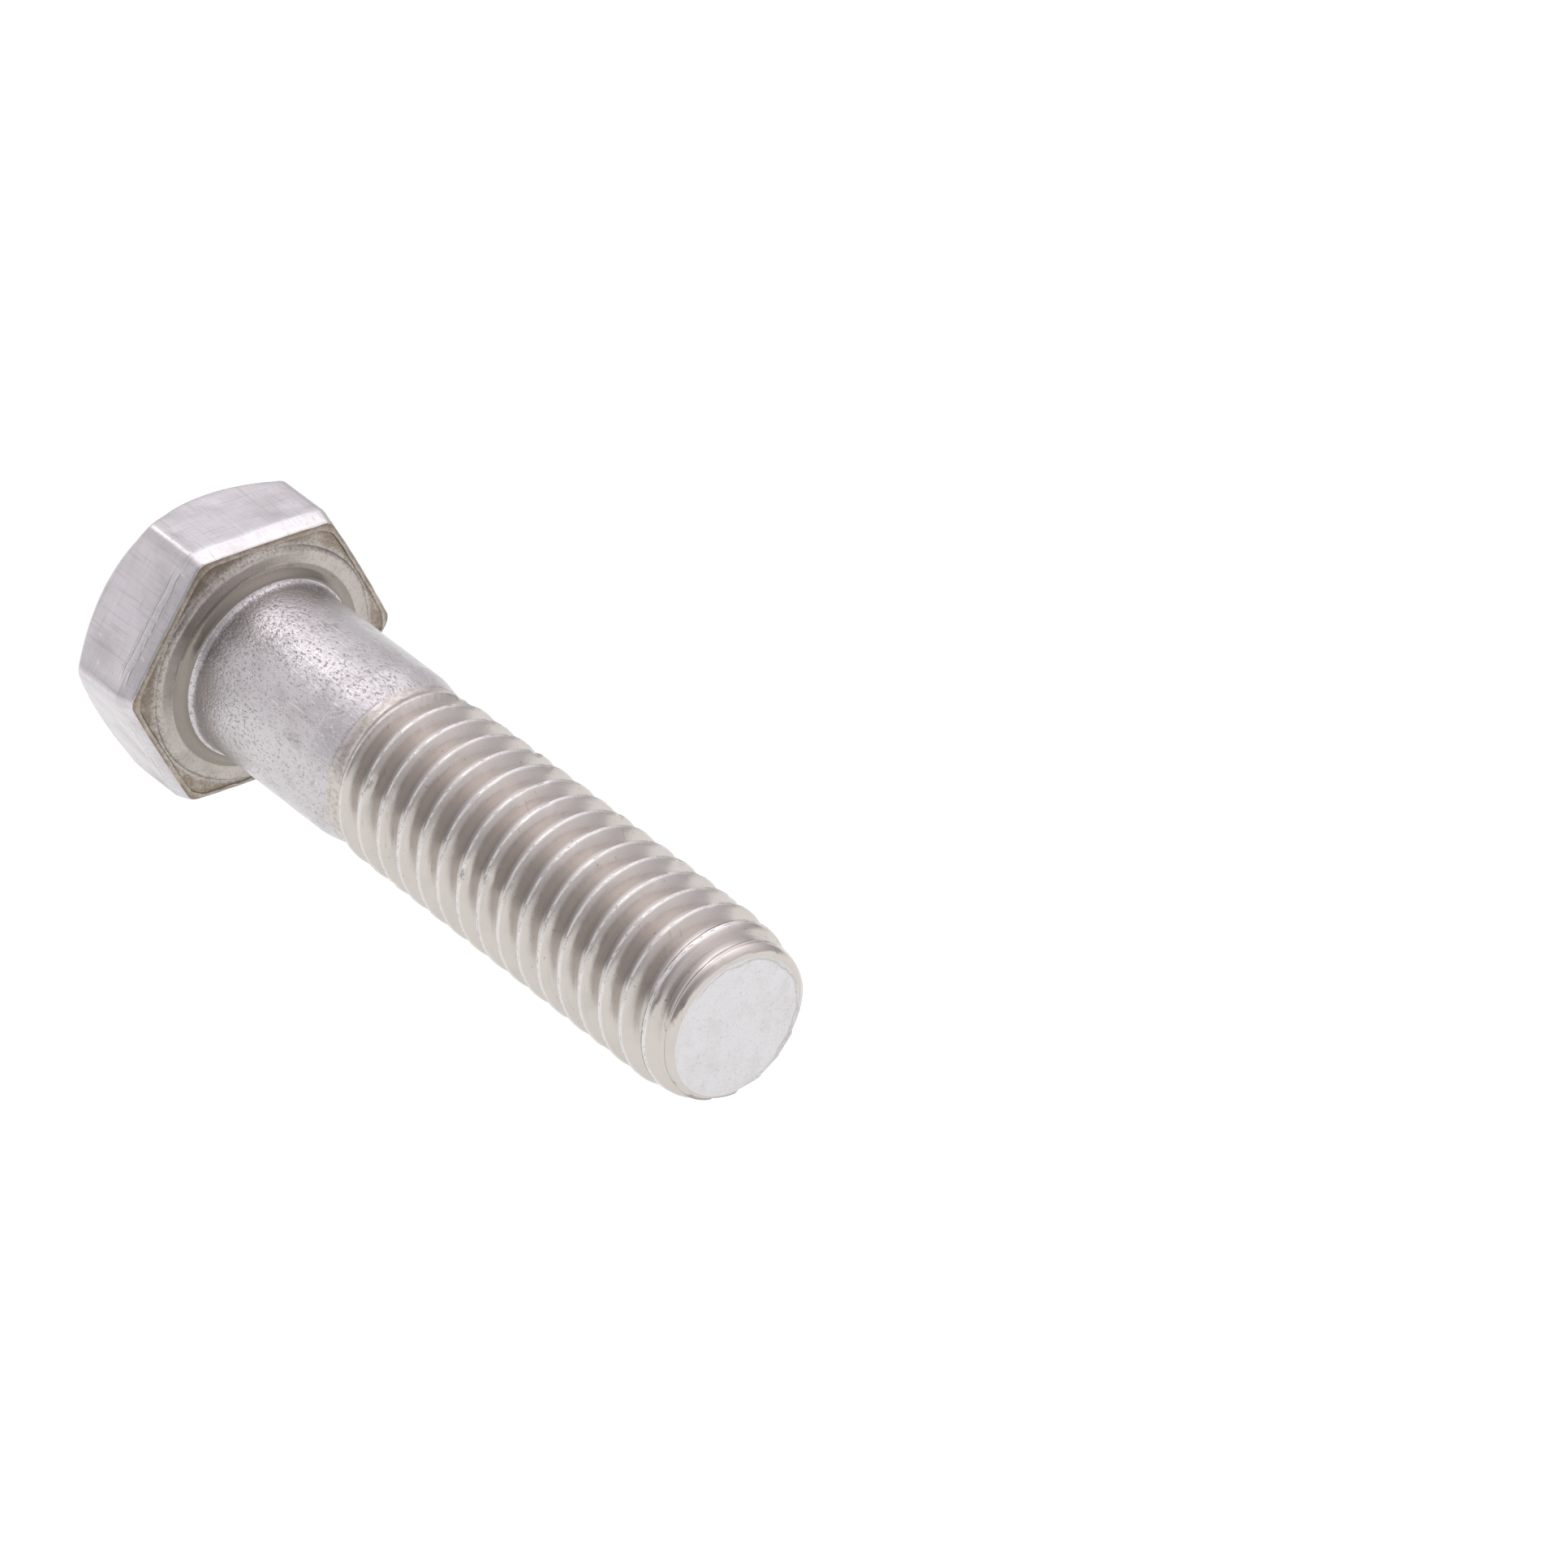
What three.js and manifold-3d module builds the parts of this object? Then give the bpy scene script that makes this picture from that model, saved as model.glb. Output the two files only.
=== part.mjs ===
// Hex bolt: one cold-headed, thread-rolled piece, 3/8-16 x 1 1/2 in, lying along X.
// Millimetres. The centre of the head's top face is the origin, and the shank points along -X.
import * as THREE from 'three';
import { ParametricGeometry } from 'three/addons/geometries/ParametricGeometry.js';
import { mergeVertices } from 'three/addons/utils/BufferGeometryUtils.js';
import Module from 'manifold-3d';

// Head
const acrossFlats = 14.2;
const cornerBluntness = 0.28; // how much the forged corners fall short of sharp ones, across corners
const headHeight = 5.9; // top face to bearing face
const topChamferAngle = 40; // degrees from the top face
const topFaceInset = 0.74; // flat to the edge of the round top face
const washerFaceInset = 0.67; // flat to the edge of the round washer face
const washerFaceHeight = 0.35;
const washerRimWidth = 0.86; // flat ring that bears on the joint, up to the cove round the shank
const cornerEaseHeight = 0.95; // bevel of each corner on the bearing side
const cornerEaseDepth = 0.22;

// Shank
const bodyDiameter = 9.4;
const bodyLength = 9.3; // bearing face to the start of the taper
const underHeadFillet = 0.87;
const taperLength = 1.9; // from the full body down to the neck
const neckDrop = 0.34; // how far the neck's radius is below the body's
const length = 37.7; // bearing face to the point

// Thread: right hand, 16 turns to the inch
const pitch = 1.5875;
const basicDepthShare = 0.6134; // depth of a unified thread as a share of its pitch
const crestRelief = 0.06; // how far the rolled crests stay below the body
const flankAngle = 60; // degrees between the two flanks
const runOutTurns = 1.2; // turns in which the groove reaches its full depth
const startAngle = 163; // degrees, where the crest helix would meet the bearing plane
const pointTaperLength = 2.1; // stretch in which the crests fall away towards the point
const pointTaperDrop = 0.47;
const pointChamfer = 0.5; // 45 degree edge of the point

// Mesh resolution
const turnSegments = 36;
const chamferSegments = 72;
const filletSteps = 4;
const hiddenDepth = 1; // how far the shank's inner end is buried in the head
const overcut = 1; // how far the hexagon runs past both ends of the head before it is cut to length

// Sizes that follow
const flatRadius = acrossFlats / 2;
const sharpCornerRadius = flatRadius / Math.cos(Math.PI / 6);
const cornerRadius = sharpCornerRadius - cornerBluntness / 2;
const topFaceRadius = flatRadius - topFaceInset;
const washerFaceRadius = flatRadius - washerFaceInset;
const washerRimRadius = washerFaceRadius - washerRimWidth;
const bodyRadius = bodyDiameter / 2;
const threadDepth = basicDepthShare * pitch - crestRelief;
const crestRadius = bodyRadius - crestRelief;
const rootRadius = crestRadius - threadDepth;
const neckRadius = bodyRadius - neckDrop;
const shoulderRadius = crestRadius - pointTaperDrop;
const threadStart = bodyLength + taperLength;
const filletRoom = washerRimRadius - bodyRadius;
const fillet = THREE.MathUtils.clamp(filletRoom, 0, underHeadFillet);

const steel = new THREE.MeshStandardMaterial({ color: 0xc9c5c0, roughness: 0.32, metalness: 1 });
const radians = THREE.MathUtils.degToRad;

const wasm = await Module();
wasm.setup();

function toSolid(geometry) {
  const bare = geometry.clone();
  bare.deleteAttribute('normal');
  bare.deleteAttribute('uv');
  const merged = mergeVertices(bare);
  const mesh = new wasm.Mesh({
    numProp: 3,
    vertProperties: new Float32Array(merged.attributes.position.array),
    triVerts: new Uint32Array(merged.index.array),
  });
  return new wasm.Manifold(mesh);
}

function toGeometry(solid) {
  const mesh = solid.getMesh();
  const geometry = new THREE.BufferGeometry();
  geometry.setAttribute('position', new THREE.BufferAttribute(mesh.vertProperties, 3));
  geometry.setIndex(new THREE.BufferAttribute(mesh.triVerts, 1));
  geometry.computeVertexNormals();
  return geometry;
}

// The head stands along Z with its top face at z = 0, and two of its flats face X.
function hexPrism() {
  const outline = new THREE.Shape();
  for (let side = 0; side < 6; side += 1) {
    const angle = (side + 0.5) * Math.PI / 3;
    const corner = [sharpCornerRadius * Math.cos(angle), sharpCornerRadius * Math.sin(angle)];
    if (side === 0) outline.moveTo(...corner);
    else outline.lineTo(...corner);
  }
  const depth = headHeight + 2 * overcut;
  const prism = new THREE.ExtrudeGeometry(outline, { depth, bevelEnabled: false });
  return prism.translate(0, 0, -headHeight - overcut);
}

// Turned envelope of the head: top chamfer, corner ease and washer face.
function headEnvelope() {
  const chamferDrop = (cornerRadius - topFaceRadius) * Math.tan(radians(topChamferAngle));
  const undersideZ = -headHeight + washerFaceHeight;
  const profile = [
    [0, -headHeight],
    [washerFaceRadius, -headHeight],
    [washerFaceRadius, undersideZ],
    [cornerRadius - cornerEaseDepth, undersideZ],
    [cornerRadius, undersideZ + cornerEaseHeight],
    [cornerRadius, -chamferDrop],
    [topFaceRadius, 0],
    [0, 0],
  ];
  const points = profile.map(([r, z]) => new THREE.Vector2(r, z));
  const turned = new THREE.LatheGeometry(points, chamferSegments);
  return turned.rotateX(Math.PI / 2);
}

// Thread section in one turn: phase 0 is the middle of a crest. Each entry is [phase, radius].
const flankWidth = threadDepth * Math.tan(radians(flankAngle / 2)) / pitch;
const landWidth = 0.5 - flankWidth; // crest and root land, each as a share of a turn
const threadSection = [
  [-landWidth / 2, crestRadius],
  [landWidth / 2, crestRadius],
  [landWidth / 2 + flankWidth, rootRadius],
  [0.5 + landWidth / 2, rootRadius],
];

// The groove deepens from the neck, and its crests stay inside the taper and chamfer of the point.
function threadRadius(distance, fullRadius) {
  const runIn = THREE.MathUtils.clamp((distance - threadStart) / (runOutTurns * pitch), 0, 1);
  const rolled = THREE.MathUtils.lerp(neckRadius, fullRadius, runIn);
  const toEnd = length - distance;
  const chamfered = shoulderRadius - pointChamfer + toEnd;
  const taperShare = (toEnd - pointChamfer) / (pointTaperLength - pointChamfer);
  const tapered = shoulderRadius + pointTaperDrop * taperShare;
  return Math.min(rolled, tapered, chamfered);
}

// Each row of the shank's surface gives, at any angle, a distance from the bearing face and a radius.
function shankRows() {
  const rows = [];
  const ring = (distance, radius) => rows.push(() => [distance, radius]);
  ring(-hiddenDepth, 0);
  ring(-hiddenDepth, bodyRadius + fillet);
  for (let step = 0; step <= filletSteps; step += 1) {
    const turn = step / filletSteps * Math.PI / 2;
    const distance = fillet * (1 - Math.cos(turn));
    ring(distance, bodyRadius + fillet * (1 - Math.sin(turn)));
  }
  ring(bodyLength, bodyRadius);
  const firstTurn = Math.floor(threadStart / pitch) - 2;
  const lastTurn = Math.ceil(length / pitch) + 1;
  for (let turn = firstTurn; turn <= lastTurn; turn += 1) {
    for (const [phase, fullRadius] of threadSection) {
      rows.push((angle) => {
        const advance = turn + phase + (angle - radians(startAngle)) / (2 * Math.PI);
        const distance = THREE.MathUtils.clamp(advance * pitch, threadStart, length);
        return [distance, threadRadius(distance, fullRadius)];
      });
    }
  }
  ring(length, 0);
  return rows;
}

// Looking from the head to the point, a right-hand crest turns clockwise as it moves away.
function shankGeometry() {
  const rows = shankRows();
  const surface = (across, along, target) => {
    const angle = (across % 1) * 2 * Math.PI;
    const [distance, radius] = rows[Math.round(along * (rows.length - 1))](across * 2 * Math.PI);
    target.set(-radius * Math.cos(angle), radius * Math.sin(angle), -headHeight - distance);
  };
  return new ParametricGeometry(surface, turnSegments, rows.length - 1);
}

const head = toSolid(hexPrism()).intersect(toSolid(headEnvelope()));
const bolt = head.add(toSolid(shankGeometry()));

const hexBolt = new THREE.Mesh(toGeometry(bolt), steel);
hexBolt.name = 'hex_bolt';
hexBolt.rotation.y = Math.PI / 2;

const part = new THREE.Group();
part.add(hexBolt);

export default part;
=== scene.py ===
import math

import bmesh
import bpy
from mathutils import Matrix, Vector, noise


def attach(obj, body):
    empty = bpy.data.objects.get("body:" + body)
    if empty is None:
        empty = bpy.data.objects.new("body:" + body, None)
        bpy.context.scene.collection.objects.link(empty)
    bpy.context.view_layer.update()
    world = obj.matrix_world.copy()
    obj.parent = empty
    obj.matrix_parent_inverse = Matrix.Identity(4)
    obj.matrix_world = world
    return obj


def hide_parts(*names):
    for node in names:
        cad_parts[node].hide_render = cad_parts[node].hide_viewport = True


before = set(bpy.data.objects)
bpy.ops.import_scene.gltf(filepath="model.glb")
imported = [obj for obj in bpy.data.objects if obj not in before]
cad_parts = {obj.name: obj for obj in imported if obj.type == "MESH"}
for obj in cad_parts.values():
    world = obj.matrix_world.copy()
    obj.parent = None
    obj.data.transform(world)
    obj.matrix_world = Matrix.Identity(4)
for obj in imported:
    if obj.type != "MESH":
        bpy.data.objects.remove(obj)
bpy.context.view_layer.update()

mm = 0.001
print("frame loaded")


studio = {
    "cameraPlace": (-375.6, 281.45, 288.76),  # mm, as all lengths in the dictionaries
    "cameraForward": (0.64311, -0.54843, -0.53444),
    "cameraUp": (0.45477, -0.28798, 0.84276),
    "lens": 256.65,
    "floorTouch": (-6.37, 0, -7.09),  # the bolt leans on the head's lower edge and on its last crests
    "floorNormal": (0.06595, 0, 0.99782),
    "floorSide": 3.0,  # metres
    "floorGlow": 1.02,
    "floorTone": (0.12, 0.12, 0.12),
    "backdrop": 1.06,  # what the camera sees past the floor's edge
    "surround": 0.245,
    "surroundTint": (1.0, 0.97, 1.0),
    # soft boxes and white walls: direction, tightness, strength
    "glows": [
        ((0.11, -0.11, 0.99), 7.4, 0.99),  # over the bolt
        ((-0.84, -0.34, 0.42), 4.3, 0.68),
        ((0.79, 0.57, 0.23), 2.5, 0.73),
        ((0.63, -0.53, 0.57), 3.8, 0.50),
        ((-0.22, -0.59, 0.77), 5.7, 0.46),
        ((0.61, 0.03, 0.79), 140, 4.0),  # the lamp that draws a band along the shank
        ((0.33, -0.55, 0.77), 26, 0.40),
    ],
}


def makeCamera():
    data = bpy.data.cameras.new("camera")
    data.lens = studio["lens"]
    data.sensor_width = 36
    camera = bpy.data.objects.new("camera", data)
    forward = Vector(studio["cameraForward"]).normalized()
    right = forward.cross(Vector(studio["cameraUp"])).normalized()
    up = right.cross(forward)
    stand = Matrix((right, up, -forward)).transposed().to_4x4()
    stand.translation = Vector(studio["cameraPlace"]) * mm
    camera.matrix_world = stand
    data.clip_start, data.clip_end = 0.01, 20
    bpy.context.scene.collection.objects.link(camera)
    bpy.context.scene.camera = camera


def makeFloor():
    mesh = bmesh.new()
    half = studio["floorSide"] / 2
    corners = [mesh.verts.new((a * half, b * half, 0)) for a, b in ((-1, -1), (1, -1), (1, 1), (-1, 1))]
    mesh.faces.new(corners)
    data = bpy.data.meshes.new("floor")
    mesh.to_mesh(data)
    mesh.free()
    floor = bpy.data.objects.new("floor", data)
    turn = Vector((0, 0, 1)).rotation_difference(Vector(studio["floorNormal"]))
    floor.matrix_world = Matrix.Translation(Vector(studio["floorTouch"]) * mm) @ turn.to_matrix().to_4x4()
    bpy.context.scene.collection.objects.link(floor)
    paper = bpy.data.materials.new("whitePaper")
    paper.use_nodes = True
    shader = paper.node_tree.nodes["Principled BSDF"]
    shader.inputs["Base Color"].default_value = (*studio["floorTone"], 1)
    shader.inputs["Roughness"].default_value = 0.9
    shader.inputs["Specular IOR Level"].default_value = 0.1
    shader.inputs["Emission Color"].default_value = (1, 1, 1, 1)
    shader.inputs["Emission Strength"].default_value = studio["floorGlow"]
    data.materials.append(paper)


def plug(tree, value, socket):
    if hasattr(value, "links"):
        tree.links.new(value, socket)
    else:
        socket.default_value = value


def figure(tree, operation, *values):
    node = tree.nodes.new("ShaderNodeMath")
    node.operation = operation
    for socket, value in zip(node.inputs, values):
        plug(tree, value, socket)
    return node.outputs["Value"]


def makeLight():
    world = bpy.data.worlds.new("softStudio")
    bpy.context.scene.world = world
    world.use_nodes = True
    tree = world.node_tree
    background = tree.nodes["Background"]
    towards = tree.nodes.new("ShaderNodeTexCoord").outputs["Generated"]

    total = studio["surround"]
    for direction, tightness, strength in studio["glows"]:
        along = tree.nodes.new("ShaderNodeVectorMath")
        along.operation = "DOT_PRODUCT"
        tree.links.new(towards, along.inputs[0])
        along.inputs[1].default_value = Vector(direction).normalized()
        lobe = figure(tree, "MULTIPLY_ADD", along.outputs["Value"], tightness, -tightness)
        total = figure(tree, "MULTIPLY_ADD", figure(tree, "EXPONENT", lobe), strength, total)
    rays = tree.nodes.new("ShaderNodeLightPath")
    shown = tree.nodes.new("ShaderNodeMix")
    tree.links.new(rays.outputs["Is Camera Ray"], shown.inputs["Factor"])
    tree.links.new(total, shown.inputs["A"])
    shown.inputs["B"].default_value = studio["backdrop"]
    background.inputs["Color"].default_value = (*studio["surroundTint"], 1)
    tree.links.new(shown.outputs["Result"], background.inputs["Strength"])
    bpy.context.scene.view_settings.view_transform = "Standard"


makeCamera()
makeFloor()
makeLight()
print("studio ready")


def lerp(a, b, t):
    return a + (b - a) * t


def clamp(value, low=0.0, high=1.0):
    return max(low, min(high, value))


def smooth(t):
    t = clamp(t)
    return t * t * (3 - 2 * t)


def softMin(a, b, width):
    overlap = clamp((width - abs(a - b)) / width)
    return min(a, b) - overlap * overlap * width / 4


def softMax(a, b, width):
    return -softMin(-a, -b, width)


def hexRadius(angle, flat, rounding, corner=None):
    # distance from the axis to a rounded hexagon whose flats face 0, 60 ... degrees
    fromFlat = (angle + 30) % 60 - 30
    fromCorner = math.radians(30 - abs(fromFlat))
    radius = flat / math.cos(math.radians(fromFlat))
    start = (flat - rounding) / math.cos(math.radians(30))
    if math.tan(math.radians(abs(fromFlat))) * flat > (flat - rounding) * math.tan(math.radians(30)):
        aside = start * math.sin(fromCorner)
        radius = start * math.cos(fromCorner) + math.sqrt(rounding ** 2 - aside ** 2)
    if corner:
        radius = softMin(radius, corner, 0.12)
    return radius


head = {
    "acrossFlats": 14.2,
    "acrossCorners": 16.1,
    "height": 5.9,  # top face to bearing face
    "edgeRounding": 0.24,  # the six long corners
    "crown": 0.08,  # the flats fall away a little towards the corners
    "topFaceRadius": 6.36,
    "topDrop": 0.08,  # the top face lies this far under the tops of its marks
    "chamferAngle": 40,
    "bevelStart": 4.6,  # trimmed band of each flat on the bearing side
    "bevelEnd": 5.55,
    "bevelAngle": 13,
    "burrInset": 0.28,  # ragged lip left by trimming
    "burrDepth": 5.69,
    "burrCorner": 1.4,
    "burrRaggedness": 0.05,
    "underside": 5.6,
    "washerRadius": 6.43,
    "landOuter": 6.22,
    "landInner": 5.6,
    "coveRadius": 5.0,  # where the smooth cove under the head meets the shank's own fillet
    "coveRise": 0.3,
    "unevenness": 0.018,  # how far the forged surface wanders inward
    "knocks": 0.12,
    "topRings": (0.5, 1.0, 1.5, 2, 2.5, 3, 3.4, 3.8, 4.2),
    "topColumns": 90,
    "cornerColumns": 6,
    "flatColumns": 22,
}


def headAngles():
    angles = []
    for side in range(6):
        corner = side * 60 - 30
        for k in range(head["cornerColumns"]):
            angles.append(corner + 4.5 * (k / head["cornerColumns"]))
        for k in range(head["flatColumns"]):
            angles.append(corner + 4.5 + 51 * k / head["flatColumns"])
        for k in range(head["cornerColumns"]):
            angles.append(corner + 55.5 + 4.5 * k / head["cornerColumns"])
    return angles


def evenAngles(count):
    return [-30 + 360 * k / count for k in range(count)]


def place(angle, radius, depth):
    turn = math.radians(angle)
    return Vector((-depth, radius * math.sin(turn), radius * math.cos(turn))) * mm


def roundedPath(corners):
    # corners: radius, depth, rounding, steps to the next corner
    path = []
    for k, (r, h, rounding, steps) in enumerate(corners):
        here = Vector((r, h))
        if rounding:
            before = Vector(corners[k - 1][:2]) - here
            after = Vector(corners[k + 1][:2]) - here
            reach = min(rounding, before.length * 0.45, after.length * 0.45)
            first, last = here + before.normalized() * reach, here + after.normalized() * reach
            for t in (0, 0.25, 0.5, 0.75, 1):
                path.append(first.lerp(here, t).lerp(here.lerp(last, t), t))
        else:
            path.append(here)
        if steps:
            nextRounding = corners[k + 1][2]
            start = path[-1]
            end = Vector(corners[k + 1][:2])
            back = start - end if not rounding else here - end
            if nextRounding:
                beyond = Vector(corners[k + 2][:2]) - end
                end = end + back.normalized() * min(nextRounding, back.length * 0.45, beyond.length * 0.45)
            path += [start.lerp(end, s / steps) for s in range(1, steps)]
    return path


def hollow(point, scale, seed=0.0):
    # uneven metal: 0 to 1, and always taken inward
    return clamp(0.5 + 0.7 * noise.noise(point / mm * scale + Vector((seed, seed, seed))))


def dent(point, scale, seed=0.0):
    # a few small knocks, the rest left alone
    return max(0, noise.noise(point / mm * scale + Vector((seed, seed, seed))) - 0.28)


def sink(point, depth):
    # moves a point of a side face towards the axis
    out = Vector((0, point.y, point.z))
    return point - out.normalized() * depth * mm


def headProfile(angle):
    fromFlat = abs((angle + 30) % 60 - 30) / 30
    flat = head["acrossFlats"] / 2 - head["crown"] * fromFlat ** 3
    corner = head["acrossCorners"] / 2
    hexagon = hexRadius(angle, flat, head["edgeRounding"], corner)
    chamfer = (hexagon - head["topFaceRadius"]) * math.tan(math.radians(head["chamferAngle"]))
    bevelDrop = (head["bevelEnd"] - head["bevelStart"]) * math.tan(math.radians(head["bevelAngle"]))
    lower = hexRadius(angle, flat - bevelDrop, 0.6, corner - 0.12)
    burr = hexRadius(angle, flat - bevelDrop - head["burrInset"], head["burrCorner"])
    ragged = noise.noise(place(angle, 7, 5) / mm * 1.6) + 0.5 * noise.noise(place(angle, 7, 9) / mm * 4.5)
    ragged *= head["burrRaggedness"]
    washer, bearing, under = head["washerRadius"], head["height"], head["underside"]
    return roundedPath([
        (6.15, head["topDrop"], 0, 1),
        (head["topFaceRadius"], head["topDrop"], 0.22, 3),
        (hexagon, chamfer, 0.14, 14),
        (hexagon, head["bevelStart"], 0.12, 4),
        (lower, head["bevelEnd"] + ragged * 0.4, 0.12, 1),
        (burr + ragged, head["burrDepth"] + ragged, 0.03, 1),
        (burr - 0.06, under, 0.02, 2),
        (washer + 0.02, under + 0.03, 0.04, 1),
        (washer - 0.05, bearing - 0.12, 0.1, 0),
        (head["landOuter"], bearing, 0.12, 4),
        (head["landInner"], bearing - 0.01, 0.1, 0),
        (head["landInner"] - 0.1, bearing + 0.01, 0, 0),
    ])


shank = {
    "bodyRadius": 4.7,
    "fillet": 0.42,
    "bodyLength": 9.3,
    "neckStart": 11.05,
    "neckRadius": 4.40,
    "neckStep": 0.05,
    "length": 37.7,
    "unevenness": 0.012,
    "knocks": 0.06,
    "columns": 144,
}


def shankProfile():
    # rings from the cove under the head to the start of the thread: radius, depth from the top face
    bearing = head["height"]
    wide, narrow = head["landInner"] - 0.14, head["coveRadius"]
    path = []
    for k in range(7):
        t = k / 6
        rise = 1.4 * t - 0.4 * (1 - (1 - t) ** 3)
        path.append((lerp(wide, narrow, t), bearing + 0.02 + head["coveRise"] * rise))
    top = path[-1][1]
    path += [(narrow - 0.03, top + 0.02), (narrow - 0.07, top + 0.03), (narrow - 0.1, top + 0.06)]
    wide = narrow - 0.1
    for k in range(1, 8):
        turn = k / 7 * math.pi / 2
        radius = wide - (wide - shank["bodyRadius"]) * math.sin(turn)
        path.append((radius, top + 0.06 + shank["fillet"] * (1 - math.cos(turn))))
    start = path[-1][1]
    end = bearing + shank["bodyLength"]
    path += [(shank["bodyRadius"], lerp(start, end, k / 34)) for k in range(1, 35)]
    neck = bearing + shank["neckStart"]
    for k in range(1, 14):
        t = k / 13
        step = shank["neckStep"] * (1 if k == 13 else 0.9)
        path.append((neckShape(t) + step, lerp(end, neck - 0.1, t)))
    path += [(shank["neckRadius"] + 0.03, neck - 0.05), (shank["neckRadius"], neck)]
    return path


def neckShape(t):
    # the body's end bulges over into a straight cone
    drop = shank["bodyRadius"] - shank["neckRadius"]
    return shank["bodyRadius"] - drop * softMax(0, 1.18 * t - 0.18, 0.5)


thread = {
    "pitch": 1.5875,
    "crestRadius": 4.645,
    "rootRadius": 3.73,
    "crestLand": 0.17,
    "crestRounding": 0.07,
    "rootRounding": 0.2,
    "startAngle": 163,
    "runOutTurns": 1.15,
    "rowsPerTurn": 22,
    "seamDepth": 0.02,
    "nickDepth": 0.16,
    "unevenness": 0.01,
}


def threadShape(phase):
    # radius over one turn; phase 0 is the middle of a crest
    away = abs((phase + 0.5) % 1 - 0.5) * thread["pitch"]
    slope = math.tan(math.radians(60))
    flank = thread["crestRadius"] - (away - thread["crestLand"] / 2) * slope
    radius = softMin(thread["crestRadius"], flank, thread["crestRounding"])
    radius = softMax(radius, thread["rootRadius"], thread["rootRounding"])
    seam = thread["seamDepth"] * math.exp(-(away / 0.03) ** 2)
    return radius - seam


point = {
    "faceRadius": 3.68,
    "rimHeight": 0.5,
    "rimRadius": 4.2,
    "taper": 0.2,
    "faceDish": 0.07,  # the shear leaves the end a little hollow
    # rings of the end face: radius, share of the hollow's depth
    "faceRings": ((3.6, 0.3), (3.4, 0.7), (3.1, 0.9), (2.6, 1), (2.1, 1), (1.6, 1), (1.1, 1), (0.6, 1)),
    "unevenness": 0.03,
    "offset": 0.08,  # the sheared end is a little off the axis
    "offsetAngle": 95,
}


def pointLimit(toEnd):
    t = clamp(toEnd / point["rimHeight"])
    rim = lerp(point["faceRadius"], point["rimRadius"], math.sqrt(1 - (1 - t) ** 2))
    return rim + max(toEnd - point["rimHeight"], 0) * point["taper"]


def threadRadius(along, phase, angle):
    start = shank["neckStart"]
    runIn = smooth((along - start) / (thread["runOutTurns"] * thread["pitch"]))
    full = threadShape(phase)
    radius = lerp(shank["neckRadius"], full, runIn)
    toEnd = shank["length"] - along
    aside = math.cos(math.radians(angle - point["offsetAngle"]))
    shift = point["offset"] * aside * smooth((3 - toEnd) / 2.5)
    return softMin(radius, pointLimit(toEnd) + shift, 0.06)


def threadPhases():
    # rows stand close together on the crest and in the root
    count = thread["rowsPerTurn"]
    phases = []
    for k in range(count):
        t = k / count
        phases.append(t - 0.075 * math.sin(2 * math.pi * t) - 0.022 * math.sin(4 * math.pi * t))
    return phases


def ringOf(mesh, points):
    return [mesh.verts.new(p) for p in points]


def joinRings(mesh, outer, inner, zone):
    count = len(outer)
    for k in range(count):
        n = (k + 1) % count
        face = mesh.faces.new((outer[k], outer[n], inner[n], inner[k]))
        face.material_index = zone


def nextAngle(angles, k):
    # the angle after the k-th one; past a whole turn there is none
    if k < len(angles) - 1:
        return angles[k + 1]
    return angles[0] + 360 if k < len(angles) else math.inf


def zipRings(mesh, outer, outerAngles, inner, innerAngles, zone):
    # joins rings that have different numbers of points
    a, b = 0, 0
    while a < len(outer) or b < len(inner):
        v, w = outer[a % len(outer)], inner[b % len(inner)]
        if nextAngle(outerAngles, a) <= nextAngle(innerAngles, b):
            face = mesh.faces.new((v, outer[(a + 1) % len(outer)], w))
            a += 1
        else:
            face = mesh.faces.new((v, inner[(b + 1) % len(inner)], w))
            b += 1
        face.material_index = zone


marks = {
    "height": 0.075,
    "innerRadius": 4.5,
    "outerRadius": 6.15,
    "columns": 360,
    "rows": 17,
    # plain raised bars and dots: angle, radius, half length, half width, turn
    "shapes": [
        (-52, 5.3, 0.5, 0.13, 90), (-38, 5.3, 0.5, 0.13, 90), (-24, 5.3, 0.5, 0.13, 90),
        (-10, 5.3, 0.2, 0.2, 0),
        (128, 5.3, 0.55, 0.13, 0), (146, 5.3, 0.2, 0.2, 0), (164, 5.3, 0.55, 0.13, 0),
        (182, 5.3, 0.2, 0.2, 0), (200, 5.3, 0.55, 0.13, 0),
    ],
}


def markHeight(angle, radius):
    best = 0
    y, z = radius * math.sin(math.radians(angle)), radius * math.cos(math.radians(angle))
    for at, out, halfLength, halfWidth, turn in marks["shapes"]:
        cy, cz = out * math.sin(math.radians(at)), out * math.cos(math.radians(at))
        spin = math.radians(at + turn)
        dy, dz = y - cy, z - cz
        u = dy * math.cos(spin) - dz * math.sin(spin)
        v = dy * math.sin(spin) + dz * math.cos(spin)
        outside = math.hypot(max(abs(u) - halfLength + halfWidth, 0), v) - halfWidth
        best = max(best, smooth((0.1 - outside) / 0.16))
    return best * marks["height"]


zones = {"top": 0, "flats": 1, "bearing": 2, "body": 3, "thread": 4, "point": 5}


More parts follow.
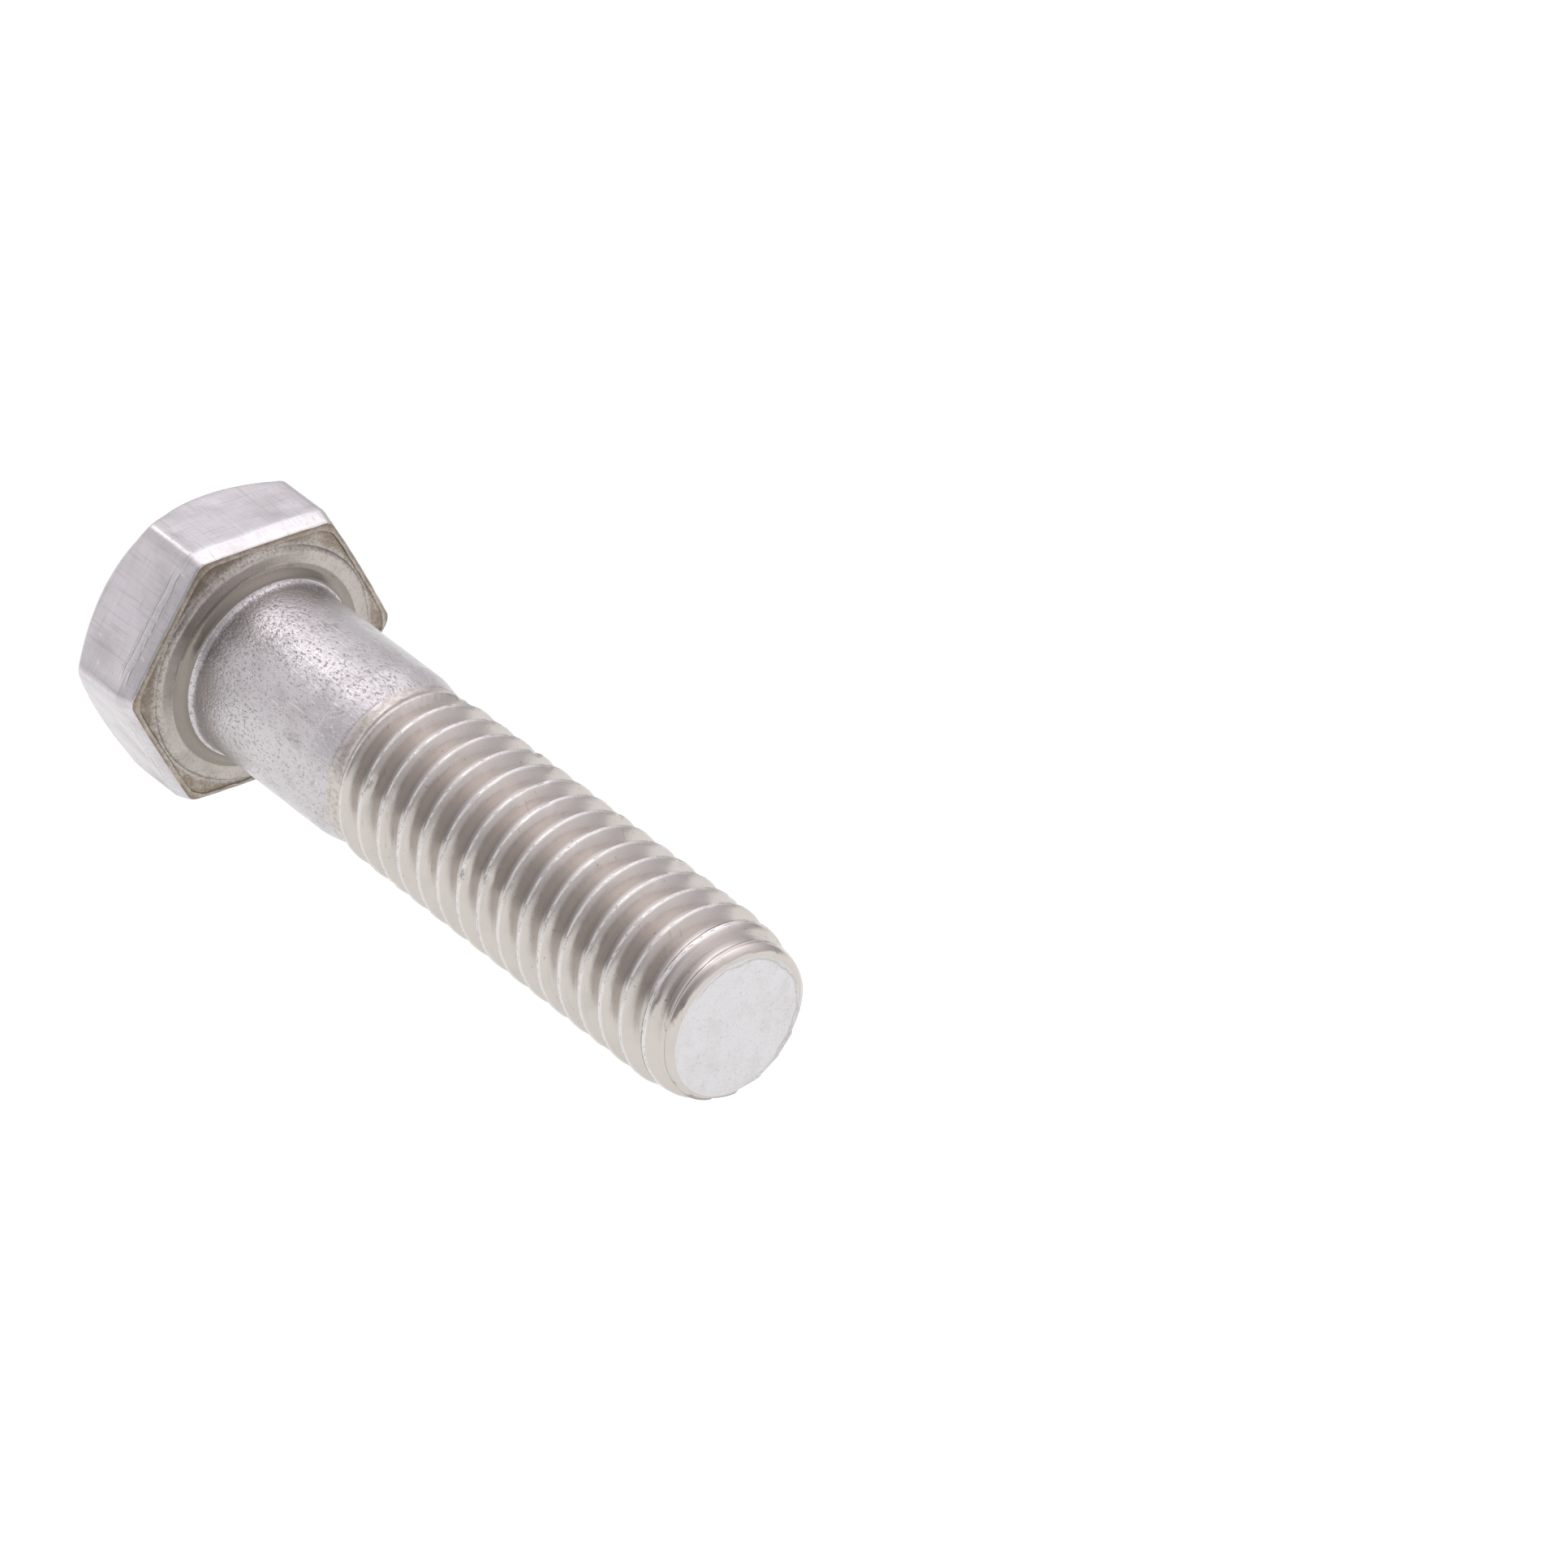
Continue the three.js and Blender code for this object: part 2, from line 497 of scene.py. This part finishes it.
def buildHeadTop(mesh, fine):
    # from the centre outwards; gives the outermost ring
    drop = head["topDrop"]
    coarse = evenAngles(head["topColumns"])
    centre = mesh.verts.new(place(0, 0, drop))
    rings = [ringOf(mesh, [place(a, r, drop) for a in coarse]) for r in head["topRings"]]
    for k in range(len(coarse)):
        face = mesh.faces.new((centre, rings[0][k], rings[0][(k + 1) % len(coarse)]))
        face.material_index = zones["top"]
    for inner, outer in zip(rings, rings[1:]):
        joinRings(mesh, outer, inner, zones["top"])
    markRings = []
    for k in range(marks["rows"]):
        r = lerp(marks["innerRadius"], marks["outerRadius"] - 0.1, k / (marks["rows"] - 1))
        markRings.append(ringOf(mesh, [place(a, r, drop - markHeight(a, r)) for a in fine]))
    zipRings(mesh, markRings[0], fine, rings[-1], coarse, zones["top"])
    for inner, outer in zip(markRings, markRings[1:]):
        joinRings(mesh, outer, inner, zones["top"])
    return markRings[-1]


def headZone(depth, radius):
    if depth < 1 and radius < head["acrossFlats"] / 2 - 0.01:
        return "top"
    return "flats" if depth < head["bevelEnd"] else "bearing"


def buildHeadSides(mesh, topRing, topAngles):
    # chamfer, flats, trimmed lip and underside as far as the cove; gives the last ring
    angles = headAngles()
    columns = [headProfile(a) for a in angles]
    sides = []
    for row in range(len(columns[0])):
        points = [place(a, c[row].x, c[row].y) for a, c in zip(angles, columns)]
        if row > 2:
            for k, v in enumerate(points):
                worn = hollow(v, 0.35) * head["unevenness"] + dent(v, 0.9, 5) * head["knocks"]
                points[k] = sink(v, worn)
        sides.append(ringOf(mesh, points))
    zipRings(mesh, sides[0], angles, topRing, topAngles, zones["top"])
    middle = columns[min(range(len(angles)), key=lambda k: abs(angles[k]))]
    for row in range(len(sides) - 1):
        between = (middle[row] + middle[row + 1]) / 2
        joinRings(mesh, sides[row], sides[row + 1], zones[headZone(between.y, between.x)])
    return sides[-1], angles


def buildShank(mesh, coveRing, coveAngles, even):
    profile = shankProfile()
    rings = []
    for r, h in profile:
        points = [place(a, r, h) for a in even]
        for k, v in enumerate(points):
            worn = hollow(v, 0.6, 9) * shank["unevenness"] + dent(v, 1.3, 3) * shank["knocks"]
            points[k] = sink(v, worn)
        rings.append(ringOf(mesh, points))
    zipRings(mesh, coveRing, coveAngles, rings[0], even, zones["bearing"])
    for k, (outer, inner) in enumerate(zip(rings, rings[1:])):
        zone = "bearing" if profile[k][0] > shank["bodyRadius"] + 0.2 else "body"
        joinRings(mesh, outer, inner, zones[zone])
    return rings[-1]


def threadSpot(angle, along, line):
    spot = place(angle, threadRadius(along, line, angle), head["height"] + along)
    fromCrest = abs((line + 0.5) % 1 - 0.5) * thread["pitch"]
    nicked = dent(spot, 1.6, 7) * smooth((0.24 - fromCrest) / 0.12)
    return sink(spot, hollow(spot, 0.5, 2) * thread["unevenness"] + nicked * thread["nickDepth"])


def buildThread(mesh, startRing, even):
    # every row is one turn of a helix, and goes on in the row one turn later
    start, end, pitch = shank["neckStart"], shank["length"], thread["pitch"]
    phases = threadPhases()
    perTurn = len(phases)
    turns = range(math.floor(start / pitch) - 2, math.ceil(end / pitch) + 1)
    lines = [turn + phase for turn in turns for phase in phases]
    endRing = ringOf(mesh, [place(a, threadRadius(end, 0.5, a), head["height"] + end) for a in even])
    grid = []
    for line in lines:
        row = []
        for k, angle in enumerate(even):
            along = pitch * (line + (angle - thread["startAngle"]) / 360)
            if along < start + 0.03:
                row.append(startRing[k])
            elif along > end - 0.03:
                row.append(endRing[k])
            else:
                row.append(mesh.verts.new(threadSpot(angle, along, line)))
        grid.append(row)
    for k in range(len(lines) - 1):
        for c in range(len(even)):
            if c + 1 < len(even):
                ring = (grid[k][c], grid[k][c + 1], grid[k + 1][c + 1], grid[k + 1][c])
            elif k + perTurn + 1 < len(lines):
                ring = (grid[k][c], grid[k + perTurn][0], grid[k + perTurn + 1][0], grid[k + 1][c])
            else:
                continue
            corners = list(dict.fromkeys(ring))
            if len(corners) > 2 and mesh.faces.get(corners) is None:
                mesh.faces.new(corners).material_index = zones["thread"]
    return endRing


def buildPoint(mesh, inner, even):
    end = head["height"] + shank["length"]
    for r, share in point["faceRings"]:
        flat = [place(a, r, end - share * point["faceDish"]) for a in even]
        low = [Vector((hollow(v, 0.8, 4) * point["unevenness"] * mm, 0, 0)) for v in flat]
        ring = ringOf(mesh, [v + inward for v, inward in zip(flat, low)])
        joinRings(mesh, inner, ring, zones["point"])
        inner = ring
    tip = mesh.verts.new(place(0, 0, end - point["faceDish"] - 0.01))
    for k in range(len(even)):
        face = mesh.faces.new((inner[k], inner[(k + 1) % len(even)], tip))
        face.material_index = zones["point"]


def buildBolt():
    mesh = bmesh.new()
    fine, even = evenAngles(marks["columns"]), evenAngles(shank["columns"])
    topRing = buildHeadTop(mesh, fine)
    coveRing, coveAngles = buildHeadSides(mesh, topRing, fine)
    neckRing = buildShank(mesh, coveRing, coveAngles, even)
    endRing = buildThread(mesh, neckRing, even)
    buildPoint(mesh, endRing, even)
    loose = [v for v in mesh.verts if not v.link_faces]
    bmesh.ops.delete(mesh, geom=loose, context="VERTS")
    bmesh.ops.recalc_face_normals(mesh, faces=mesh.faces)
    print("open edges", sum(not e.is_manifold for e in mesh.edges), "faces", len(mesh.faces))
    for face in mesh.faces:
        face.smooth = True
    data = bpy.data.meshes.new("hexBolt")
    mesh.to_mesh(data)
    mesh.free()
    bolt = bpy.data.objects.new("hexBolt", data)
    bpy.context.scene.collection.objects.link(bolt)
    return bolt


bolt = buildBolt()
print("bolt built", sum(len(p.vertices) - 2 for p in bolt.data.polygons), "triangles")


def startFinish(zone):
    # gives the node tree and the places on the bolt, in millimetres, that its nodes start from
    finish = bpy.data.materials.new(zone + "Steel")
    finish.use_nodes = True
    tree = finish.node_tree
    tree.nodes["Principled BSDF"].inputs["Metallic"].default_value = 1
    scaled = tree.nodes.new("ShaderNodeVectorMath")
    scaled.operation = "SCALE"
    plug(tree, tree.nodes.new("ShaderNodeTexCoord").outputs["Object"], scaled.inputs[0])
    scaled.inputs["Scale"].default_value = 1 / mm
    split = tree.nodes.new("ShaderNodeSeparateXYZ")
    plug(tree, scaled.outputs["Vector"], split.inputs[0])
    x, y, z = split.outputs
    radius = figure(tree, "SQRT", figure(tree, "MULTIPLY_ADD", y, y, figure(tree, "MULTIPLY", z, z)))
    depth = figure(tree, "MULTIPLY", x, -1.0)
    bolt.data.materials.append(finish)
    return tree, {"local": scaled.outputs["Vector"], "depth": depth, "radius": radius, "x": x, "y": y, "z": z}


def grains(tree, local, stretch, detail=2.0, harshness=0.5, offset=0.0):
    # cloudy noise; a small stretch draws it out into lines along that axis
    scaled = tree.nodes.new("ShaderNodeVectorMath")
    scaled.operation = "MULTIPLY_ADD"
    plug(tree, local, scaled.inputs[0])
    scaled.inputs[1].default_value = stretch if isinstance(stretch, tuple) else (stretch,) * 3
    scaled.inputs[2].default_value = (offset, offset * 0.7, offset * 1.3)
    cloud = tree.nodes.new("ShaderNodeTexNoise")
    plug(tree, scaled.outputs["Vector"], cloud.inputs["Vector"])
    cloud.inputs["Scale"].default_value = 1
    cloud.inputs["Detail"].default_value = detail
    cloud.inputs["Roughness"].default_value = harshness
    return cloud.outputs["Fac"]


def ringGrains(tree, at, fine, slow, detail):
    # lines that run round the axis
    joined = tree.nodes.new("ShaderNodeCombineXYZ")
    outward = figure(tree, "MULTIPLY_ADD", at["radius"], fine, figure(tree, "MULTIPLY", at["x"], 0.4))
    plug(tree, outward, joined.inputs[0])
    plug(tree, figure(tree, "MULTIPLY", at["y"], slow), joined.inputs[1])
    plug(tree, figure(tree, "MULTIPLY", at["z"], slow), joined.inputs[2])
    return grains(tree, joined.outputs["Vector"], 1, detail)


def fade(tree, value, start, end):
    node = tree.nodes.new("ShaderNodeMapRange")
    node.interpolation_type = "SMOOTHSTEP"
    plug(tree, value, node.inputs["Value"])
    node.inputs["From Min"].default_value = start
    node.inputs["From Max"].default_value = end
    return node.outputs["Result"]


def joinMasks(tree, operation, masks):
    total = masks[0]
    for mask in masks[1:]:
        total = figure(tree, operation, total, mask)
    return total


def both(tree, *masks):
    return joinMasks(tree, "MULTIPLY", masks)


def either(tree, *masks):
    return joinMasks(tree, "MAXIMUM", masks)


def lineAt(tree, value, where, width):
    # a soft line where the value passes one number
    return fade(tree, figure(tree, "ABSOLUTE", figure(tree, "SUBTRACT", value, where)), width, 0.0)


def centred(tree, value, span):
    # noise about a half becomes noise about nought
    return figure(tree, "MULTIPLY", figure(tree, "SUBTRACT", value, 0.5), span)


def scratches(tree, at, look):
    # short strokes that come in patches
    strokes = grains(tree, at["local"], look["scratchStretch"], 1, 0.5, look["scratchOffset"])
    patches = grains(tree, at["local"], look["scratchPatch"], 1, 0.5, look["scratchPatchOffset"])
    return both(tree, fade(tree, strokes, *look["scratchFrom"]), fade(tree, patches, *look["patchFrom"]))


def tint(tree, under, over, mask, amount):
    mix = tree.nodes.new("ShaderNodeMix")
    mix.data_type = "RGBA"
    plug(tree, figure(tree, "MULTIPLY", mask, amount), mix.inputs[0])
    for socket, colour in ((mix.inputs[6], under), (mix.inputs[7], over)):
        plug(tree, (*colour, 1) if isinstance(colour, tuple) else colour, socket)
    return mix.outputs[2]


def addUp(tree, base, *parts):
    # the base plus each value's difference from its centre, times its share
    total = base
    for value, share, centre in parts:
        part = figure(tree, "MULTIPLY", figure(tree, "SUBTRACT", value, centre), share)
        total = figure(tree, "ADD", total, part)
    return total


def emboss(tree, height, distance, under=None):
    bump = tree.nodes.new("ShaderNodeBump")
    bump.inputs["Strength"].default_value = 1
    bump.inputs["Distance"].default_value = distance * mm
    plug(tree, height, bump.inputs["Height"])
    if under is not None:
        plug(tree, under, bump.inputs["Normal"])
    return bump.outputs["Normal"]


def endFinish(tree, colour, rough, normal):
    shader = tree.nodes["Principled BSDF"]
    plug(tree, colour, shader.inputs["Base Color"])
    held = figure(tree, "MINIMUM", figure(tree, "MAXIMUM", rough, 0.12), 0.75)
    plug(tree, held, shader.inputs["Roughness"])
    plug(tree, normal, shader.inputs["Normal"])


topLook = {
    "tone": (0.68, 0.67, 0.675),
    "dark": (0.46, 0.44, 0.43),
    "markShade": (0.24, 0.22, 0.21),  # painted shade along the sloping sides of the raised marks
    "scratchTone": (0.85, 0.85, 0.85),
    "rough": 0.34,
    "dimpleSize": 1.9,  # noise sizes are turns per millimetre
    "dimpleDepth": 0.035,
    "gritSize": 9,
    "gritDepth": 0.004,
    "scratchStretch": (1, 0.5, 7), "scratchOffset": 9, "scratchFrom": (0.69, 0.75),
    "scratchPatch": 0.5, "scratchPatchOffset": 14, "patchFrom": (0.50, 0.57),
}


def forgedTop():
    look = topLook
    tree, at = startFinish("top")
    dimples = grains(tree, at["local"], look["dimpleSize"], 3, 0.55, 2)
    grit = grains(tree, at["local"], look["gritSize"], 3, 0.65, 4)
    cloud = grains(tree, at["local"], 0.5, 4, 0.5, 6)
    scratch = scratches(tree, at, look)
    # the sloping sides of the raised marks, which get painted shade below
    markSides = both(tree, lineAt(tree, at["depth"], 0.045, 0.034), fade(tree, at["radius"], 6.3, 6.2))
    colour = tint(tree, look["tone"], look["dark"], fade(tree, cloud, 0.45, 0.80), 0.22)
    colour = tint(tree, colour, look["dark"], fade(tree, dimples, 0.50, 0.34), 0.25)
    colour = tint(tree, colour, look["dark"], fade(tree, grit, 0.58, 0.75), 0.35)
    # painted shade on the sides of the raised marks
    colour = tint(tree, colour, look["markShade"], markSides, 0.6)
    colour = tint(tree, colour, look["scratchTone"], scratch, 0.5)
    rough = addUp(tree, look["rough"], (cloud, 0.3, 0.5), (grit, 0.25, 0.5))
    normal = emboss(tree, dimples, look["dimpleDepth"])
    normal = emboss(tree, grit, look["gritDepth"], normal)
    endFinish(tree, colour, rough, normal)


flatsLook = {
    "tone": (0.625, 0.600, 0.620),
    "dark": (0.34, 0.32, 0.32),
    "ridgeTone": (0.88, 0.87, 0.87),
    "worn": (0.80, 0.79, 0.79),
    # paler colour: wear on scratches, wear and a painted highlight on the corner edges, a painted highlight
    # on the upper flat's trimmed band
    "rough": 0.34,
    "lengthwise": (0.3, 7, 7),  # brushing along the bolt
    "crosswise": (7, 0.4, 0.4),
    "brushDepth": 0.011,
    "ridgeDepths": (4.3, 4.75),  # two wavy lines that the trimming tool left
    "ridgeHeight": 0.045,
    "ridgeWave": 0.55,
    "ridgeWidth": 0.10,
    "trimStart": (4.62, 4.72),
    "scratchStretch": (1.1, 5.5, 0.7), "scratchOffset": 21, "scratchFrom": (0.70, 0.76),
    "scratchPatch": 0.6, "scratchPatchOffset": 5, "patchFrom": (0.50, 0.56),
}


def brushedFlats():
    look = flatsLook
    tree, at = startFinish("flats")
    along = grains(tree, at["local"], look["lengthwise"], 3, 0.62)
    across = grains(tree, at["local"], look["crosswise"], 3, 0.62, 7)
    cloud = grains(tree, at["local"], 0.45, 4, 0.55, 3)
    grit = grains(tree, at["local"], 5, 3, 0.6, 11)
    scratch = scratches(tree, at, look)
    wave = grains(tree, at["local"], (0.05, 0.42, 0.42), 3, 0.6, 13)
    waved = figure(tree, "ADD", at["depth"], centred(tree, wave, look["ridgeWave"]))
    # the lines stop short of the corners, and the upper flat has none
    inner = both(tree, fade(tree, at["radius"], 7.78, 7.35), fade(tree, at["z"], 6.9, 6.0))
    lines = [lineAt(tree, waved, d, look["ridgeWidth"]) for d in look["ridgeDepths"]]
    ridges = both(tree, inner, either(tree, *lines))
    # corner edges painted paler: partly wear, partly a painted highlight
    edge = fade(tree, at["radius"], 7.99, 8.04)
    # painted shade in a strip beside each corner edge
    beside = both(tree, fade(tree, at["radius"], 7.72, 7.86), fade(tree, at["radius"], 8.04, 7.98))
    # painted highlight on the trimmed band, only on the upper flat
    trimmed = both(tree, fade(tree, waved, *look["trimStart"]), fade(tree, at["z"], 5.8, 6.6))
    colour = tint(tree, look["tone"], look["dark"], fade(tree, cloud, 0.42, 0.72), 0.32)
    colour = tint(tree, colour, look["dark"], fade(tree, along, 0.50, 0.70), 0.30)
    colour = tint(tree, colour, look["dark"], fade(tree, across, 0.53, 0.70), 0.26)
    # painted shade beside the corner edges
    colour = tint(tree, colour, look["dark"], beside, 0.22)
    colour = tint(tree, colour, look["dark"], fade(tree, grit, 0.66, 0.73), 0.5)
    colour = tint(tree, colour, look["ridgeTone"], ridges, 0.45)
    # scratches are wear; the corner edges are wear with a painted highlight; the upper trimmed band is a
    # painted highlight
    colour = tint(tree, colour, look["worn"], either(tree, edge, scratch, trimmed), 0.3)
    rough = addUp(
        tree, look["rough"], (along, 0.30, 0.5), (cloud, 0.22, 0.5), (trimmed, -0.08, 0), (ridges, -0.08, 0))
    normal = emboss(tree, addUp(tree, along, (across, 0.9, 0.5), (grit, 0.7, 0.5)), look["brushDepth"])
    normal = emboss(tree, either(tree, ridges, both(tree, scratch, 0.25)), look["ridgeHeight"], normal)
    endFinish(tree, colour, rough, normal)


bearingLook = {
    "tone": (0.49, 0.455, 0.42),
    "dark": (0.22, 0.195, 0.17),
    "burr": (0.36, 0.305, 0.24),
    "lipShade": (0.16, 0.11, 0.07),  # painted shade, brownish, in the gap along the trimmed edge's lip
    "rough": 0.33,
    "turningDepth": 0.004,
    "speckDepth": 0.02,
}


def turnedBearing():
    look = bearingLook
    tree, at = startFinish("bearing")
    turning = ringGrains(tree, at, 14, 0.25, 3)
    grit = grains(tree, at["local"], 7, 4, 0.65, 8)
    cloud = grains(tree, at["local"], 0.9, 3, 0.5, 17)
    shoulder = fade(tree, at["radius"], 6.12, 6.32)
    outside = fade(tree, at["radius"], 6.55, 6.75)
    # the cove under the head: painted shade in its colour, and smoother
    cove = fade(tree, at["radius"], 5.62, 5.52)
    # painted shade in a band round the fillet under the head
    filletLine = lineAt(tree, at["radius"], 4.93, 0.25)
    # the trimmed lip, where painted shade goes
    trimEdge = both(tree, fade(tree, at["radius"], 6.5, 6.65), fade(tree, at["depth"], 5.67, 5.57))
    colour = tint(tree, look["tone"], look["dark"], fade(tree, cloud, 0.45, 0.75), 0.3)
    colour = tint(tree, colour, look["dark"], both(tree, shoulder, fade(tree, grit, 0.45, 0.62)), 0.5)
    colour = tint(tree, colour, look["dark"], fade(tree, grit, 0.5, 0.66), 0.35)
    # painted shade in the cove
    colour = tint(tree, colour, look["dark"], cove, 0.8)
    # painted shade round the fillet
    colour = tint(tree, colour, look["dark"], filletLine, 0.75)
    colour = tint(tree, colour, look["burr"], both(tree, outside, fade(tree, grit, 0.2, 0.6)), 0.7)
    # painted shade along the trimmed lip
    colour = tint(tree, colour, look["lipShade"], both(tree, trimEdge, fade(tree, cloud, 0.34, 0.50)), 0.65)
    rough = addUp(
        tree, look["rough"], (turning, 0.2, 0.5), (shoulder, 0.12, 0), (cove, -0.1, 0), (grit, 0.25, 0.5))
    normal = emboss(tree, turning, look["turningDepth"])
    normal = emboss(tree, both(tree, shoulder, grit), look["speckDepth"], normal)
    endFinish(tree, colour, rough, normal)


bodyLook = {
    "tone": (0.56, 0.535, 0.545),
    "dark": (0.22, 0.20, 0.195),
    "pale": (0.88, 0.87, 0.87),
    "rough": 0.18,
    "pitSize": (4.5, 6.5, 6.5),
    "pitDepth": 0.032,
    "scratchDepth": 0.005,
}


def burnishedBody():
    look = bodyLook
    tree, at = startFinish("body")
    pits = grains(tree, at["local"], look["pitSize"], 4, 0.7, 1)
    streaks = grains(tree, at["local"], (0.3, 10, 10), 3, 0.6, 12)
    blotch = grains(tree, at["local"], (0.45, 0.8, 0.8), 4, 0.55, 15)
    around = grains(tree, at["local"], (8, 0.5, 0.5), 3, 0.6, 18)
    scuffs = grains(tree, at["local"], (2.5, 9, 5), 2, 0.6, 27)
    pitted = fade(tree, pits, 0.56, 0.68)
    line = both(tree, fade(tree, streaks, 0.62, 0.70), fade(tree, blotch, 0.35, 0.55))
    scuffed = both(tree, fade(tree, scuffs, 0.60, 0.68), fade(tree, blotch, 0.3, 0.5))
    colour = tint(tree, look["tone"], look["dark"], fade(tree, blotch, 0.48, 0.74), 0.28)
    colour = tint(tree, colour, look["dark"], pitted, 0.38)
    colour = tint(tree, colour, look["pale"], line, 0.6)
    rough = addUp(tree, look["rough"], (blotch, 0.24, 0.45), (pitted, 0.12, 0), (streaks, 0.16, 0.5))
    normal = emboss(tree, addUp(tree, streaks, (around, 0.6, 0.5)), look["scratchDepth"])
    pocks = addUp(tree, 0.0, (pits, -1.0, 0.5), (pitted, -0.35, 0), (scuffed, -0.4, 0))
    normal = emboss(tree, pocks, look["pitDepth"], normal)
    endFinish(tree, colour, rough, normal)


threadLook = {
    "tone": (0.58, 0.54, 0.51),
    "stain": (0.50, 0.47, 0.44),
    "streak": (0.46, 0.43, 0.40),
    "dark": (0.10, 0.085, 0.08),
    # painted highlight along the crests
    "crest": (0.80, 0.79, 0.80),
    "rust": (0.45, 0.27, 0.14),
    "rawTone": (0.36, 0.33, 0.31),
    "rough": 0.235,
    "nickDepth": 0.02,
    "streakDepth": 0.0025,
    "lipPlace": -0.14,  # painted shade: a thin dark line beside the crest, on the head's side
    "seamWander": 0.16,
    "scratchStretch": (1.3, 6, 1.0), "scratchOffset": 91, "scratchFrom": (0.68, 0.73),
    "scratchPatch": 0.5, "scratchPatchOffset": 95, "patchFrom": (0.52, 0.58),
}


def acrossThread(tree, at, under):
    # millimetres from the middle of the nearest crest, less than nought towards the head
    turn = figure(tree, "DIVIDE", figure(tree, "ARCTAN2", at["y"], at["z"]), 2 * math.pi)
    phase = figure(tree, "SUBTRACT", figure(tree, "DIVIDE", under, thread["pitch"]), turn)
    phase = figure(tree, "FRACT", figure(tree, "ADD", phase, thread["startAngle"] / 360 + 0.5))
    return centred(tree, phase, thread["pitch"])


def rolledThread():
    look = threadLook
    tree, at = startFinish("thread")
    under = figure(tree, "SUBTRACT", at["depth"], head["height"])
    across = acrossThread(tree, at, under)
    wander = centred(tree, grains(tree, at["local"], 2.2, 2, 0.5, 23), look["seamWander"])
    threaded = both(tree, fade(tree, under, 11.7, 12.5), fade(tree, under, 37.5, 36.9))
    early = fade(tree, under, 12.7, 11.7)  # the die's first bite is left rough
    # the crests, which get a painted highlight
    crest = both(tree, fade(tree, figure(tree, "ABSOLUTE", across), 0.14, 0.08), threaded)
    dashes = fade(tree, grains(tree, at["local"], 2.8, 3, 0.6, 31), 0.50, 0.57)
    seam = both(tree, lineAt(tree, figure(tree, "ADD", across, wander), 0.01, 0.04), dashes, threaded)
    broken = fade(tree, grains(tree, at["local"], 2.6, 4, 0.65, 41), 0.34, 0.54)
    # painted shade in a thin line beside each crest; it also cuts a shallow groove in the bump
    lip = both(tree, lineAt(tree, across, look["lipPlace"], 0.06), broken, threaded)
    nicks = grains(tree, at["local"], 4, 3, 0.6, 51)
    streaks = ringGrains(tree, at, 9, 0.22, 3)
    cloud = grains(tree, at["local"], 0.55, 4, 0.55, 61)
    grit = grains(tree, at["local"], 7, 2, 0.6, 71)
    speck = fade(tree, grains(tree, at["local"], 4.5, 2, 0.5, 81), 0.71, 0.76)
    scratch = scratches(tree, at, look)
    colour = tint(tree, look["tone"], look["stain"], fade(tree, cloud, 0.45, 0.75), 0.45)
    colour = tint(tree, colour, look["streak"], fade(tree, streaks, 0.52, 0.75), 0.25)
    colour = tint(tree, colour, look["rust"], scratch, 0.3)
    # painted highlight on the crests
    colour = tint(tree, colour, look["crest"], crest, 0.5)
    colour = tint(tree, colour, look["dark"], speck, 0.4)
    # dark: the crest seam, and painted shade beside each crest
    colour = tint(tree, colour, look["dark"], either(tree, both(tree, seam, 0.6), lip), 0.7)
    colour = tint(tree, colour, look["rawTone"], both(tree, early, fade(tree, nicks, 0.46, 0.60)), 0.55)
    rough = addUp(
        tree, look["rough"], (cloud, 0.2, 0.5), (streaks, 0.12, 0.5), (crest, 0.05, 0), (grit, 0.1, 0.5),
        (early, 0.08, 0))
    normal = emboss(tree, addUp(tree, streaks, (grit, 0.6, 0.5)), look["streakDepth"])
    chewed = addUp(tree, both(tree, either(tree, crest, early), nicks), (seam, -0.6, 0), (lip, -0.3, 0))
    normal = emboss(tree, chewed, look["nickDepth"], normal)
    endFinish(tree, colour, rough, normal)


pointLook = {
    "tone": (0.67, 0.66, 0.67),
    "stain": (0.50, 0.48, 0.46),
    "grit": (0.42, 0.40, 0.38),
    "dark": (0.22, 0.19, 0.17),
    "rough": 0.42,
    "grainDepth": 0.006,
    "burrRadius": 3.5,  # torn line left by the shear
    "burrWave": 0.5,
    "burrHeight": 0.012,
}


def shearedPoint():
    look = pointLook
    tree, at = startFinish("point")
    mottle = grains(tree, at["local"], 1.3, 5, 0.6, 19)
    grit = grains(tree, at["local"], 7, 3, 0.65, 29)
    drag = grains(tree, at["local"], (1, 0.5, 6), 3, 0.6, 39)
    wobble = centred(tree, grains(tree, at["local"], 0.9, 3, 0.6, 49), look["burrWave"])
    side = fade(tree, figure(tree, "SUBTRACT", at["y"], at["z"]), 2.0, -1.0)
    torn = lineAt(tree, figure(tree, "ADD", at["radius"], wobble), look["burrRadius"], 0.10)
    burr = both(tree, torn, fade(tree, side, 0.5, 0.95))
    colour = tint(tree, look["tone"], look["stain"], fade(tree, mottle, 0.42, 0.78), 0.28)
    colour = tint(tree, colour, look["grit"], fade(tree, grit, 0.52, 0.72), 0.45)
    colour = tint(tree, colour, look["dark"], burr, 0.3)
    rough = addUp(tree, look["rough"], (mottle, 0.16, 0.5), (drag, 0.15, 0.5))
    uneven = addUp(tree, grit, (drag, 0.5, 0.5), (mottle, 0.8, 0.5))
    normal = emboss(tree, uneven, look["grainDepth"])
    normal = emboss(tree, burr, look["burrHeight"], normal)
    endFinish(tree, colour, rough, normal)


forgedTop()  # in the order of the zones
brushedFlats()
turnedBearing()
burnishedBody()
rolledThread()
shearedPoint()

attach(bolt, "root")
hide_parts("hex_bolt")
print("finishes ready")
